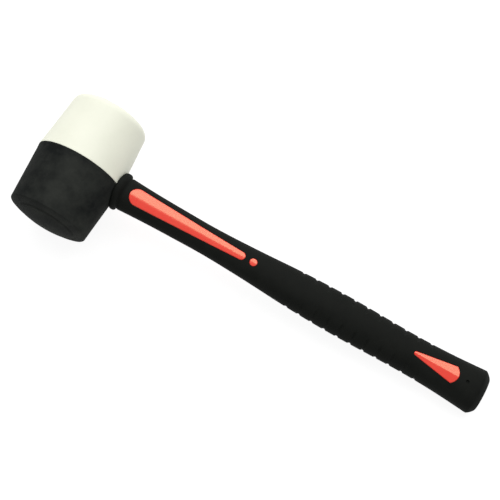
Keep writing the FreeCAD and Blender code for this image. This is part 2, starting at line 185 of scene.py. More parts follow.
def make_mesh(name, points, faces, sharp_degrees):
    """A mesh in the row frame, welded, facing outwards and smooth apart from its true edges."""
    mesh = bpy.data.meshes.new(name)
    mesh.from_pydata([TO_ROW @ Vector(point) for point in points], [], faces)
    sheet = bmesh.new()
    sheet.from_mesh(mesh)
    bmesh.ops.remove_doubles(sheet, verts=sheet.verts, dist=0.002 * MM)
    bmesh.ops.dissolve_degenerate(sheet, edges=sheet.edges, dist=0.001 * MM)
    bmesh.ops.recalc_face_normals(sheet, faces=sheet.faces)
    sheet.to_mesh(mesh)
    sheet.free()
    mesh.shade_smooth()
    mesh.set_sharp_from_angle(angle=math.radians(sharp_degrees))
    return mesh


def add_piece(name, mesh, node, material):
    """A piece of the visual model that stands for one CAD node."""
    mesh.materials.append(material)
    piece = bpy.data.objects.new(name, mesh)
    bpy.context.scene.collection.objects.link(piece)
    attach(piece, "root")
    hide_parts(node)
    return piece


# ---------------------------------------------------------------- turned shapes

def stitch(ring_a, ring_b):
    """Quads between two rings of vertex numbers of the same length."""
    count = len(ring_a)
    return [(ring_a[i], ring_a[(i + 1) % count], ring_b[(i + 1) % count], ring_b[i])
            for i in range(count)]


def close_with_point(ring, centre):
    """Triangles from a ring to one middle vertex."""
    count = len(ring)
    return [(ring[i], ring[(i + 1) % count], centre) for i in range(count)]


def lathe(rings, start, end):
    """Points and faces through rings of points, closed by a point at each end."""
    points = [start]
    faces = []
    previous = None
    for ring in rings:
        numbers = list(range(len(points), len(points) + len(ring)))
        points.extend(ring)
        faces += close_with_point(numbers, 0) if previous is None else stitch(previous, numbers)
        previous = numbers
    points.append(end)
    faces += close_with_point(previous, len(points) - 1)
    return points, faces


def arc_points(centre, radius, start, end, count):
    """Points on an arc, both ends included."""
    return [(centre[0] + radius * math.cos(a), centre[1] + radius * math.sin(a))
            for a in np.linspace(start, end, count)]


def line_points(start, end, count):
    """Points between two points, the ends left out."""
    return [(start[0] + (end[0] - start[0]) * t, start[1] + (end[1] - start[1]) * t)
            for t in np.linspace(0, 1, count + 2)[1:-1]]


def ring_dip(radius):
    """How far the moulded ring cuts into the black face at a radius."""
    middle, half, depth = BLACK_RING
    return depth * (1 - min(1.0, abs(radius - middle) / half) ** 2) ** 1.5


def crown_radii(rim):
    """Radii from the rim to near the middle, closer together across the moulded ring."""
    middle, half, _ = BLACK_RING
    return ([*np.linspace(rim - 0.4, middle + half + 0.2, 5)]
            + [*np.linspace(middle + half, middle - half, 17)]
            + [*np.linspace(middle - half - 0.3, 1.2, 20)])


def head_profile(rim, crown, edge_round):
    """Radius and height from the seam's middle, over the rim, to the middle of the face."""
    rim_radius, rim_height = rim
    taper = math.atan2(SEAM_RADIUS - rim_radius, rim_height)
    normal = (math.cos(taper), math.sin(taper))
    side_level = SEAM_RADIUS * normal[0]
    if crown:
        sphere = (rim_radius ** 2 + crown ** 2) / (2 * crown)
        sphere_y = rim_height + crown - sphere
        level = side_level - edge_round
        # centre of the rim's round: on a line parallel to the side, inside the crown's sphere
        foot = (level * normal[0], level * normal[1])
        way = (-normal[1], normal[0])
        drop = foot[1] - sphere_y
        half_b = foot[0] * way[0] + drop * way[1]
        rest = foot[0] ** 2 + drop ** 2 - (sphere - edge_round) ** 2
        reach = -half_b + math.sqrt(half_b ** 2 - rest)
        centre = (foot[0] + reach * way[0], foot[1] + reach * way[1])
        end_angle = math.atan2(centre[1] - sphere_y, centre[0])
        face = []
        for r in crown_radii(sphere * math.cos(end_angle)):
            face.append((r, sphere_y + math.sqrt(sphere ** 2 - r ** 2) - ring_dip(r)))
    else:
        centre_y = rim_height - edge_round
        centre = ((side_level - edge_round - normal[1] * centre_y) / normal[0], centre_y)
        end_angle = math.pi / 2
        face = line_points((centre[0], rim_height), (0, rim_height), 18)
    rim_arc = arc_points(centre, edge_round, taper, end_angle, 14)
    seam_side = (SEAM_RADIUS - SEAM_ROUND * 0.08, SEAM_ROUND)
    seam = line_points((0, 0), (SEAM_RADIUS - SEAM_ROUND, 0), 8)
    seam += [(SEAM_RADIUS - SEAM_ROUND, 0), (SEAM_RADIUS - SEAM_ROUND * 0.35, SEAM_ROUND * 0.25)]
    return seam + [seam_side] + line_points(seam_side, rim_arc[0], 34) + rim_arc + face


def head_half(name, side, profile, node, material, seed):
    """One half of the head with its socket, turned about Y and faintly uneven as moulded rubber is.

    The unevenness goes inwards, along the radius on the side and along Y on the face, so the head
    keeps within its moulded size.
    """
    face_level = profile[-1][1] - 8
    face_radius = 26
    rings = []
    for radius, height in profile:
        ring = []
        for k in range(HEAD_SEGMENTS):
            angle = 2 * math.pi * k / HEAD_SEGMENTS
            point = Vector((radius * math.cos(angle), side * height, radius * math.sin(angle)))
            swell = noise.noise(point * SWELL[0] + Vector((seed, 0, 0)))
            fine = noise.noise(point * FINE_SWELL[0] + Vector((0, seed, 0)))
            fade = min(1.0, height / SWELL_FADE)
            depth = fade * (SWELL[1] * (swell - SWELL_TOP) + FINE_SWELL[1] * (fine - SWELL_TOP))
            direction = Vector((math.cos(angle), 0, math.sin(angle)))
            if height >= face_level and radius < face_radius:
                direction = Vector((0, side, 0))
            ring.append(point + direction * depth)
        rings.append(ring)
    top = Vector((0, side * profile[-1][1], 0))
    points, faces = lathe(rings, Vector((0, 0, 0)), top)
    blank = make_mesh(name, points, faces, HEAD_SHARP)
    mesh = bored(blank, -SOCKET_DEPTH, SEAM_RADIUS + 8, SOCKET_RADIUS)
    return add_piece(name, mesh, node, material)


def bored(mesh, start, end, radius):
    """The mesh with a round hole along X between two places, by an exact boolean."""
    angles = [2 * math.pi * (k + 0.5) / BORE_SEGMENTS for k in range(BORE_SEGMENTS)]
    rings = [[Vector((place, radius * math.cos(a), radius * math.sin(a))) for a in angles]
             for place in np.linspace(start, end, 12)]
    points, faces = lathe(rings, Vector((start, 0, 0)), Vector((end, 0, 0)))
    blank = bpy.data.objects.new("blank", mesh)
    drill = bpy.data.objects.new("drill", make_mesh("drill", points, faces, HEAD_SHARP))
    for item in (blank, drill):
        bpy.context.scene.collection.objects.link(item)
    cut = blank.modifiers.new("bore", "BOOLEAN")
    cut.operation = "DIFFERENCE"
    cut.solver = "EXACT"
    cut.object = drill
    bpy.context.view_layer.update()
    evaluated = blank.evaluated_get(bpy.context.evaluated_depsgraph_get())
    result = bpy.data.meshes.new_from_object(evaluated)
    for item in (blank, drill):
        bpy.data.objects.remove(item)
    result.shade_smooth()
    result.set_sharp_from_angle(angle=math.radians(HEAD_SHARP))
    return result


# ---------------------------------------------------------------- handle form

def natural_spline(knots, values):
    """Second derivatives of the natural cubic spline through the points, for spline_at."""
    count = len(knots)
    gaps = np.diff(knots)
    system = np.eye(count)
    right = np.zeros(count)
    for i in range(1, count - 1):
        system[i, i - 1:i + 2] = gaps[i - 1], 2 * (gaps[i - 1] + gaps[i]), gaps[i]
        slopes = (values[i + 1] - values[i]) / gaps[i] - (values[i] - values[i - 1]) / gaps[i - 1]
        right[i] = 6 * slopes
    return np.linalg.solve(system, right)


def spline_at(x, knots, values, bends):
    """The spline's value at x."""
    x = np.asarray(x, float)
    i = np.clip(np.searchsorted(knots, x) - 1, 0, len(knots) - 2)
    gap = knots[i + 1] - knots[i]
    a = (knots[i + 1] - x) / gap
    b = 1 - a
    bent = ((a ** 3 - a) * bends[i] + (b ** 3 - b) * bends[i + 1]) * gap ** 2 / 6
    return a * values[i] + b * values[i + 1] + bent


PLACES, WIDTHS, DEPTHS = HANDLE_SECTIONS.T
WIDTH_BENDS = natural_spline(PLACES, WIDTHS)
DEPTH_BENDS = natural_spline(PLACES, DEPTHS)


def half_width(x):
    """Half the handle's width at x."""
    return spline_at(x, PLACES, WIDTHS, WIDTH_BENDS)


def half_depth(x):
    """Half the handle's depth at x, with the butt's faces drawn in to rest flat."""
    past = np.maximum(np.asarray(x, float) - BUTT_REST[0], 0)
    return spline_at(x, PLACES, DEPTHS, DEPTH_BENDS) - BUTT_REST[1] * past


def face_height(x, y, inset=0.0):
    """Z of the handle's upper face above a place in plan."""
    ratio = np.clip(np.abs(y) / (half_width(x) - inset), 0, 0.999)
    return (half_depth(x) - inset) * np.sqrt(1 - ratio ** 2)


def head_surface(y, z):
    """X of the head's side at y and z, where the collar sits on it."""
    black = (SEAM_RADIUS - BLACK_RIM[0]) / BLACK_RIM[1]
    white = (SEAM_RADIUS - WHITE_RIM[0]) / WHITE_RIM[1]
    radius = SEAM_RADIUS - np.abs(y) * np.where(y < 0, black, white)
    return np.sqrt(radius ** 2 - z ** 2)


def meridian_table(rows):
    """Rows of u, x, half width, half depth and weight of the head's saddle, as columns."""
    return np.array(rows, float).T


def outer_meridian():
    """The skin's outside from its seat on the head to the middle of the butt."""
    width, depth = COLLAR
    rows = []
    for rise, setback in COLLAR_SEAT:
        rows.append((0, rise - SEAT_SINK, width - setback, depth - setback, 1))
    rows.append((0, COLLAR_START - HEAD_SIDE, width, depth, 1))
    for angle in np.radians(np.linspace(0, 90, 9)):
        setback = COLLAR_ROUND * (1 - math.cos(angle))
        x = COLLAR_END - COLLAR_ROUND * (1 - math.sin(angle))
        rows.append((0, x - HEAD_SIDE, width - setback, depth - setback, 1))
    neck_width = float(half_width(THROAT))
    neck_depth = float(half_depth(THROAT))
    for x, down, saddle in CREASE:
        rows.append((0, x - saddle * HEAD_SIDE, neck_width - down + CREASE_LIFT,
                     neck_depth - down + CREASE_LIFT, saddle))
    # u is X along the grip, and runs back along the profile in the collar
    u = THROAT
    for i in reversed(range(len(rows))):
        ahead = rows[i + 1] if i + 1 < len(rows) else (0, THROAT, neck_width, neck_depth, 0)
        here_x = rows[i][1] + HEAD_SIDE * rows[i][4]
        ahead_x = ahead[1] + HEAD_SIDE * ahead[4]
        u -= math.hypot(ahead_x - here_x, ahead[2] - rows[i][2])
        rows[i] = (u,) + rows[i][1:]
    for x in np.arange(THROAT, BUTT_START, 0.5):
        rows.append((x, x, half_width(x), half_depth(x), 0))
    u = BUTT_START
    last = None
    power = 2 / BUTT_SQUARENESS
    outline_end = BUTT_END - 2    # past here the handle's outline stays the same under the round
    for angle in np.radians(np.linspace(0, 90, 15)):
        back = BUTT_ROUND * (1 - math.cos(angle) ** power)
        x = BUTT_END - BUTT_ROUND * (1 - math.sin(angle) ** power)
        width_here = half_width(min(x, outline_end)) - back
        depth_here = half_depth(min(x, outline_end)) - back
        if last is not None:
            u += math.hypot(x - last[0], width_here - last[1])
        else:
            u += x - BUTT_START
        rows.append((u, x, width_here, depth_here, 0))
        last = (x, width_here)
    for scale in (0.86, 0.7, 0.54, 0.38, 0.22, 0.1):
        rows.append((u + (1 - scale) * last[1], BUTT_END, width_here * scale,
                     depth_here * scale, 0))
    return meridian_table(rows)


def inner_meridian():
    """The skin's inside: the shoulder in the socket's mouth, the hard body, and its rounded end."""
    rows = [(0, -SEAT_SINK, SOCKET_RADIUS, SOCKET_RADIUS, 1),
            (0, SHOULDER_STEP, SOCKET_RADIUS, SOCKET_RADIUS, 0)]
    width = float(half_width(SHOULDER_END)) - SKIN
    depth = float(half_depth(SHOULDER_END)) - SKIN
    rows.append((0, SHOULDER_END - 0.3, width, depth, 0))
    u = SHOULDER_END
    row_gap = 1.5
    for i in reversed(range(len(rows))):
        u -= row_gap
        rows[i] = (u,) + rows[i][1:]
    for x in np.arange(SHOULDER_END, BODY_END, 1.0):
        rows.append((x, x, half_width(x) - SKIN, half_depth(x) - SKIN, 0))
    width = float(half_width(BODY_END)) - SKIN
    depth = float(half_depth(BODY_END)) - SKIN
    for scale in (1.0, 0.8, 0.6, 0.4, 0.2):
        rows.append((BODY_END + (1 - scale) * width, BODY_END, width * scale, depth * scale, 0))
    return meridian_table(rows)


def groove_depth(x, y):
    """How far the grip's grooves cut in at a place; they fade towards the middle of the face."""
    depth = np.zeros_like(x)
    fade_start, fade_gain, fade_length = GROOVE_FADE
    half_count = (GROOVE_COUNT - 1) / 2
    for index in range(GROOVE_COUNT):
        middle = GROOVE_FIRST + index * GROOVE_PITCH
        from_centre = abs(index - half_count) / half_count
        strength = 1.0 - GROOVE_END_LOSS * from_centre ** 2
        inner = fade_start + fade_gain * from_centre ** 2
        rise = np.clip((np.abs(y) - inner) / fade_length, 0, 1)
        rise = rise * rise * (3 - 2 * rise)
        half = GROOVE_HALF * (0.6 + 0.4 * rise)
        across_groove = np.clip(np.abs(x - middle) / half, 0, 1)
        depth += GROOVE_DEPTH * strength * rise * (1 - across_groove ** 2) ** 1.3
    return depth


def surface_point(table, u, phi, grooved):
    """Points of a meridian table's surface at u and the angle round the handle."""
    u = np.asarray(u, float)
    phi = np.asarray(phi, float)
    x, width, depth, saddle = (np.interp(u, table[0], column) for column in table[1:])
    y = width * np.cos(phi)
    z = depth * np.sin(phi)
    x = np.where(saddle > 0, (1 - saddle) * x + saddle * (head_surface(y, z) + x), x)
    if grooved:
        normal_y = np.cos(phi) / np.maximum(width, 0.1)
        normal_z = np.sin(phi) / np.maximum(depth, 0.1)
        length = np.hypot(normal_y, normal_z)
        cut = groove_depth(x, y)
        y = y - cut * normal_y / length
        z = z - cut * normal_z / length
    return np.stack([x, y, z], axis=-1)


# ---------------------------------------------------------------- window outlines

def even_loop(points, spacing, eased=0):
    """A closed loop at even spacing, with its corners eased a little."""
    points = np.array(points + points[:1], float)
    steps = np.hypot(*np.diff(points, axis=0).T)
    run = np.concatenate([[0], np.cumsum(steps)])
    count = max(16, int(round(run[-1] / spacing)))
    at = np.linspace(0, run[-1], count, endpoint=False)
    loop = np.stack([np.interp(at, run, points[:, 0]), np.interp(at, run, points[:, 1])], axis=1)
    for _ in range(eased):
        loop = (np.roll(loop, 1, 0) + 2 * loop + np.roll(loop, -1, 0)) / 4
    return loop


def offset_loop(loop, distance):
    """The loop moved outwards along its normals."""
    way = np.roll(loop, -1, 0) - np.roll(loop, 1, 0)
    way /= np.hypot(way[:, 0], way[:, 1])[:, None]
    return loop + distance * np.stack([way[:, 1], -way[:, 0]], axis=1)


def long_lean():
    """Angle at which the long window's round ends meet its straight sides."""
    head_x, head_radius, tail_x, tail_radius = LONG_WINDOW
    return math.acos((head_radius - tail_radius) / (tail_x - head_x))


def fan_lean():
    """Angle at which the fan's round tip meets its straight sides."""
    tip_x, tip_radius, corner_x, half, _ = FAN_WINDOW
    reach = math.hypot(corner_x - tip_x, half)
    return math.atan2(half, corner_x - tip_x) + math.acos(tip_radius / reach)


def fan_end():
    """Centre and radius of the fan's bulged end."""
    _, _, corner_x, half, bulge = FAN_WINDOW
    radius = (half ** 2 + bulge ** 2) / (2 * bulge)
    return corner_x + bulge - radius, radius


def long_outline():
    head_x, head_radius, tail_x, tail_radius = LONG_WINDOW
    lean = long_lean()
    outline = arc_points((head_x, 0), head_radius, lean, 2 * math.pi - lean, 60)
    outline += arc_points((tail_x, 0), tail_radius, -lean, lean, 40)
    return even_loop(outline, spacing=0.5)


def dot_outline():
    x, radius = DOT_WINDOW
    return even_loop(arc_points((x, 0), radius, 0, 2 * math.pi, 49)[:-1], spacing=0.38)


def fan_outline():
    tip_x, tip_radius, corner_x, half, _ = FAN_WINDOW
    end_x, end_radius = fan_end()
    lean = fan_lean()
    corner = math.atan2(half, corner_x - end_x)
    outline = arc_points((tip_x, 0), tip_radius, lean, 2 * math.pi - lean, 40)
    outline += arc_points((end_x, 0), end_radius, -corner, corner, 60)
    return even_loop(outline, spacing=0.36, eased=1)


def pin_outline():
    x, radius, _ = PIN_MARK
    return even_loop(arc_points((x, 0), radius, 0, 2 * math.pi, 33)[:-1], spacing=0.22)


def inside(points, loop):
    """Which plan points lie inside a loop, by counting crossings."""
    x, y = points.T
    result = np.zeros(len(points), bool)
    for (x0, y0), (x1, y1) in zip(loop, np.roll(loop, -1, 0)):
        crosses = (y0 > y) != (y1 > y)
        slope = (x1 - x0) / (y1 - y0) if y1 != y0 else 0.0
        result ^= crosses & (x < x0 + (y - y0) * slope)
    return result


def distance_to(points, loop):
    """Distance from plan points to the nearest vertex of a loop."""
    gaps = points[:, None, :] - loop[None, :, :]
    return np.sqrt((gaps ** 2).sum(-1).min(1))


# ---------------------------------------------------------------- tubes with windows

MEAN_RADIUS = 12.0                   # turns an angle round the handle into millimetres
ROWS = 96                            # steps round the handle
RIM_BAND = 0.5                       # from a window's lip to the next ring of points


def to_flat(table, loop, face):
    """Plan points on the upper (1) or lower (-1) face as u and angle."""
    width = np.interp(loop[:, 0], table[0], table[2])
    phi = np.arccos(np.clip(loop[:, 1] / width, -1, 1))
    return np.stack([loop[:, 0], phi if face > 0 else 2 * math.pi - phi], axis=1)


def windowed_tube(table, columns, windows, ring_offsets, clearance, grooved):
    """Triangulate a tube round its windows.

    windows holds (outline, face). No point of the grid lies closer than clearance to a window's
    outer ring. The result is points, faces, the first and last ring, and each window's edge ring
    as vertex numbers.
    """
    angles = np.linspace(0, 2 * math.pi, ROWS + 1)
    grid_u, grid_phi = (a.ravel() for a in np.meshgrid(columns, angles, indexing="ij"))
    keep = np.ones(len(grid_u), bool)
    plan_y = np.interp(grid_u, table[0], table[2]) * np.cos(grid_phi)
    for outline, face in windows:
        rim = offset_loop(outline, ring_offsets[-1])
        near = (np.sin(grid_phi) * face > 0) & (grid_u > rim[:, 0].min() - clearance)
        near &= grid_u < rim[:, 0].max() + clearance
        chosen = np.flatnonzero(near)
        plan = np.stack([grid_u[chosen], plan_y[chosen]], axis=1)
        keep[chosen[inside(plan, rim) | (distance_to(plan, rim) < clearance)]] = False
    flat = list(zip(grid_u[keep], grid_phi[keep]))
    edges = []
    rings = []
    for outline, face in windows:
        for number, offset in enumerate(ring_offsets):
            ring = to_flat(table, offset_loop(outline, offset), face)
            first = len(flat)
            flat.extend(map(tuple, ring))
            ids = list(range(first, first + len(ring)))
            edges += list(zip(ids, ids[1:] + ids[:1]))
            if number == 0:
                rings.append(ids)
    scaled = [Vector((u, phi * MEAN_RADIUS)) for u, phi in flat]
    _, _, triangles, origins, _, _ = delaunay_2d_cdt(scaled, edges, [], 0, 1e-4, True)
    source = np.array([ids[0] for ids in origins])

    flat = np.array(flat)
    wrapped = {}
    first_row = {round(u, 4): i for i, (u, phi) in enumerate(flat) if phi == 0}
    for i, (u, phi) in enumerate(flat):
        if phi > 2 * math.pi - 1e-9:
            wrapped[i] = first_row[round(u, 4)]
    faces = []
    centres = []
    for triangle in triangles:
        ids = [int(source[v]) for v in triangle]
        centres.append(flat[ids].mean(0))
        faces.append(tuple(wrapped.get(v, v) for v in ids))
    centres = np.array(centres)
    kept = np.ones(len(faces), bool)
    for outline, face in windows:
        hole = to_flat(table, offset_loop(outline, ring_offsets[0]), face)
        boxed = (centres > hole.min(0)) & (centres < hole.max(0))
        near = np.flatnonzero(boxed.all(1))
        kept[near[inside(centres[near], hole)]] = False
    faces = [face for face, stays in zip(faces, kept) if stays]
    points = surface_point(table, flat[:, 0], flat[:, 1], grooved)
    starts = [i for i, (u, _) in enumerate(flat) if u == columns[0] and i not in wrapped]
    ends = [i for i, (u, _) in enumerate(flat) if u == columns[-1] and i not in wrapped]
    return points, faces, starts, ends, rings


def grip_columns(table):
    """Where the skin's rings of points lie: closer together across every groove."""
    steps = [0.25, 0.5, 0.7, 0.85, 1, 1.25]
    fine = GROOVE_HALF * np.array([-v for v in reversed(steps)] + [0] + steps)
    columns = list(table[0][table[0] < THROAT])
    middles = GROOVE_FIRST + GROOVE_PITCH * np.arange(GROOVE_COUNT)
    columns += list(np.arange(THROAT, middles[0] - 3, 1.5))
    for middle in middles:
        columns += list(middle + fine)
        columns += list(middle + GROOVE_PITCH * np.array([0.32, 0.44, 0.56, 0.68]))
    columns = [u for u in columns if u < middles[-1] + 4]
    columns += list(np.arange(middles[-1] + 5, BUTT_START - 0.8, 1.5))
    columns += list(table[0][table[0] >= BUTT_START])
    return np.array(sorted(columns))


def compact(points, faces):
    """Drop the points that no face uses."""
    used = sorted({v for face in faces for v in face})
    number = {v: i for i, v in enumerate(used)}
    return [points[v] for v in used], [tuple(number[v] for v in face) for face in faces]


def grip_skin(material):
    """The black soft skin: collar, windows with rounded lips, grooves, butt and pin mark."""
    outlines = [long_outline(), dot_outline(), fan_outline()]
    windows = [(outline, face) for face in (1, -1) for outline in outlines]
    pin = pin_outline()
    outside = outer_meridian()
    columns = grip_columns(outside)
    points, faces, seat, butt, rings = windowed_tube(
        outside, columns, windows + [(pin, 1)], (LIP, LIP + RIM_BAND), clearance=0.75,
        grooved=True)
    points = [Vector(p) for p in points]
    points.append(Vector((BUTT_END, 0, 0)))
    faces += close_with_point(butt, len(points) - 1)

    inside_table = inner_meridian()
    inside_u = inside_table[0]
    even_u = np.arange(SHOULDER_END + 3, BODY_END - 1, 2.5)
    inner_columns = np.concatenate([inside_u[:4], even_u, inside_u[inside_u >= BODY_END]])
    inner, inner_faces, inner_seat, inner_end, inner_rings = windowed_tube(
        inside_table, inner_columns, windows, (0.0,), clearance=0.9, grooved=False)
    base = len(points)
    points += [Vector(p) for p in inner]
    faces += [tuple(v + base for v in face) for face in inner_faces]
    points.append(Vector((BODY_END, 0, 0)))
    faces += close_with_point([v + base for v in inner_end], len(points) - 1)
    faces += stitch(seat, [v + base for v in inner_seat])

    for (outline, face), ring, bottom in zip(windows, rings, inner_rings):
        last = lip_rings(points, faces, outline, face, ring)
        faces += stitch(last, [v + base for v in bottom])
    place, _, depth = PIN_MARK
    last = lip_rings(points, faces, pin, 1, rings[-1], PIN_LIP)
    floor = []
    for x, y in pin:
        floor.append(len(points))
        points.append(Vector((x, y, face_height(x, y) - depth)))
    faces += stitch(last, floor)
    points.append(Vector((place, 0, face_height(place, 0) - depth)))
    faces += close_with_point(floor, len(points) - 1)
    points, faces = compact(points, faces)
    mesh = make_mesh("soft_grip_skin", points, faces, SKIN_SHARP)
    return add_piece("soft_grip_skin", mesh, "grip_overmould", material)


def lip_rings(points, faces, outline, face, ring, lip=LIP):
    """Round the skin's edge down into a window; returns the last ring."""
    last = ring
    for angle in np.radians((30, 60, 90)):
        loop = offset_loop(outline, LIP - lip * math.sin(angle))
        sunk = lip * (1 - math.cos(angle))
        numbers = []
        for x, y in loop:
            numbers.append(len(points))
            points.append(Vector((x, y, face * (face_height(x, y) - sunk))))
        faces += stitch(last, numbers)
        last = numbers
    return last


# ---------------------------------------------------------------- red hard body

def island_height(x, y, half, rounding):
    """The raised plastic's top: two flats that meet in a softened ridge."""
    crest = face_height(x, 0 * y) + PROUD
    edge = face_height(x, half) - TUCKED
    fall = (crest - edge) * (np.sqrt((y / half) ** 2 + rounding ** 2) - rounding)
    return crest - fall


def long_half(x):
    """Half width of the long window's straight sides, drawn on past its round ends."""
    head_x, head_radius, tail_x, tail_radius = LONG_WINDOW
    return head_radius + (tail_radius - head_radius) * (x - head_x) / (tail_x - head_x)


def fan_half(x):
    """Half width of the fan's straight sides, drawn on past its ends."""
    tip_x, tip_radius, corner_x, half, _ = FAN_WINDOW
    widening = (half - tip_radius) * (x - tip_x) / (corner_x - tip_x)
    return np.maximum(tip_radius, tip_radius + widening)


def dot_half(x):
    return DOT_WINDOW[1] + 0 * x


def long_edge(inset):
    """The upper half of the long window's outline, from end to end."""
    head_x, head_radius, tail_x, tail_radius = LONG_WINDOW
    lean = long_lean()
    head = arc_points((head_x, 0), head_radius - inset, math.pi, lean, 25)
    tail = arc_points((tail_x, 0), tail_radius - inset, lean, 0, 15)
    return np.array(head + line_points(head[-1], tail[0], 80) + tail)


def dot_edge(inset):
    x, radius = DOT_WINDOW
    return np.array(arc_points((x, 0), radius - inset, math.pi, 0, 25))


def fan_edge(inset):
    """The upper half of the fan's outline; its corner is where the inset side meets the end."""
    tip_x, tip_radius, _, _, _ = FAN_WINDOW
    end_x, end_radius = fan_end()
    lean = fan_lean()
    way = (math.sin(lean), -math.cos(lean))
    level = tip_radius - inset
    start = (tip_x + level * math.cos(lean), level * math.sin(lean))
    gap = start[0] - end_x
    half_b = gap * way[0] + start[1] * way[1]
    rest = gap ** 2 + start[1] ** 2 - (end_radius - inset) ** 2
    length = -half_b + math.sqrt(half_b ** 2 - rest)
    corner = (start[0] + length * way[0], start[1] + length * way[1])
    tip = arc_points((tip_x, 0), level, math.pi, lean, 13)
    corner_angle = math.atan2(corner[1], corner[0] - end_x)
    end = arc_points((end_x, 0), end_radius - inset, corner_angle, 0, 16)
    return np.array(tip + line_points(tip[-1], end[0], 34) + end)


def island(edge, half, rounding, face):
    """One raised window of the hard body as a closed shell."""

    def ring(inset):
        upper = edge(inset)
        return np.concatenate([upper, upper[-2:0:-1] * (1, -1)])

    top = ring(GAP + ISLAND_ROUND)
    count = len(edge(0))
    rows = (0.86, 0.68, 0.48, 0.32, 0.2, 0.1, 0.04)
    rows = rows + (0,) + tuple(-v for v in reversed(rows))
    plan = [top]
    columns = []
    for k in range(1, count - 1):
        first = len(top) + (k - 1) * len(rows)
        plan.append(np.array([(top[k, 0], top[k, 1] * v) for v in rows]))
        columns.append([k, *range(first, first + len(rows)), len(top) - k])
    plan = np.concatenate(plan)
    faces = []
    for one, two in zip(columns, columns[1:]):
        faces += [(one[i], two[i], two[i + 1], one[i + 1]) for i in range(len(one) - 1)]
    for apex, column in ((0, columns[0]), (count - 1, columns[-1])):
        faces += [(apex, column[i], column[i + 1]) for i in range(len(column) - 1)]
    height = island_height(plan[:, 0], plan[:, 1], half(plan[:, 0]), rounding)
    points = [Vector((x, y, face * z)) for (x, y), z in zip(plan, height)]
    last = list(range(len(top)))
    for angle in np.radians((30, 60, 90)):
        loop = ring(GAP + ISLAND_ROUND * (1 - math.sin(angle)))
        drop = ISLAND_ROUND * (1 - math.cos(angle))
        level = island_height(loop[:, 0], loop[:, 1], half(loop[:, 0]), rounding) - drop
        numbers = list(range(len(points), len(points) + len(loop)))
        points += [Vector((x, y, face * z)) for (x, y), z in zip(loop, level)]
        faces += stitch(last, numbers)
        last = numbers
    wall = ring(GAP)
    foot = list(range(len(points), len(points) + len(wall)))
    foot_level = face_height(wall[:, 0], wall[:, 1]) - ISLAND_SUNK
    points += [Vector((x, y, face * z)) for (x, y), z in zip(wall, foot_level)]
    faces += stitch(last, foot)
    middle = wall.mean(0)
    points.append(Vector((middle[0], middle[1], face * (foot_level.min() - ISLAND_KEEL))))
    faces += close_with_point(foot, len(points) - 1)
    return points, faces


def oval_ring(x, width, depth):
    angles = 2 * math.pi * np.arange(OVAL_SEGMENTS) / OVAL_SEGMENTS
    return [Vector((x, width * math.cos(a), depth * math.sin(a))) for a in angles]


def jacket():
    """The hard body inside the skin, with its barbed tenon."""
    tip_radius = TENON_RADIUS - TENON_CHAMFER
    rings = [oval_ring(TENON_TIP, tip_radius, tip_radius),
             oval_ring(TENON_TIP + TENON_CHAMFER, TENON_RADIUS, TENON_RADIUS)]
    for index in range(BARB_COUNT):
        base = TENON_TIP + BARB_LENGTH + index * BARB_PITCH
        rings.append(oval_ring(base, TENON_RADIUS, TENON_RADIUS))
        rings.append(oval_ring(base + BARB_LENGTH, BARB_RADIUS, BARB_RADIUS))
        rings.append(oval_ring(base + BARB_LENGTH + BARB_BACK, TENON_RADIUS, TENON_RADIUS))
    radius = SOCKET_RADIUS - FIT
    rings += [oval_ring(SHOULDER_START - 0.1, TENON_RADIUS, TENON_RADIUS),
              oval_ring(SHOULDER_START, radius, radius), oval_ring(SHOULDER_STEP, radius, radius)]
    for x in np.arange(SHOULDER_END, BODY_END, 2.0):
        rings.append(oval_ring(x, half_width(x) - SKIN - FIT, half_depth(x) - SKIN - FIT))
    end = BODY_END - FIT
    inset = SKIN + BODY_CHAMFER
    rings.append(oval_ring(end, half_width(end) - inset, half_depth(end) - inset))
    return lathe(rings, Vector((TENON_TIP, 0, 0)), Vector((end, 0, 0)))


def red_body(material):
    """The hard body with its rod cavity and six raised windows."""
    mesh = bored(make_mesh("red_handle_body", *jacket(), BODY_SHARP), *ROD)
    sheet = bmesh.new()
    sheet.from_mesh(mesh)
    for face in (1, -1):
        for shell in (island(long_edge, long_half, RIDGE_ROUND, face),
                      island(dot_edge, dot_half, RIDGE_ROUND, face),
                      island(fan_edge, fan_half, FAN_RIDGE_ROUND, face)):
            sheet.from_mesh(make_mesh("raised_window", *shell, BODY_SHARP))
    sheet.to_mesh(mesh)
    sheet.free()
    return add_piece("red_handle_body", mesh, "handle_body", material)


# ---------------------------------------------------------------- materials

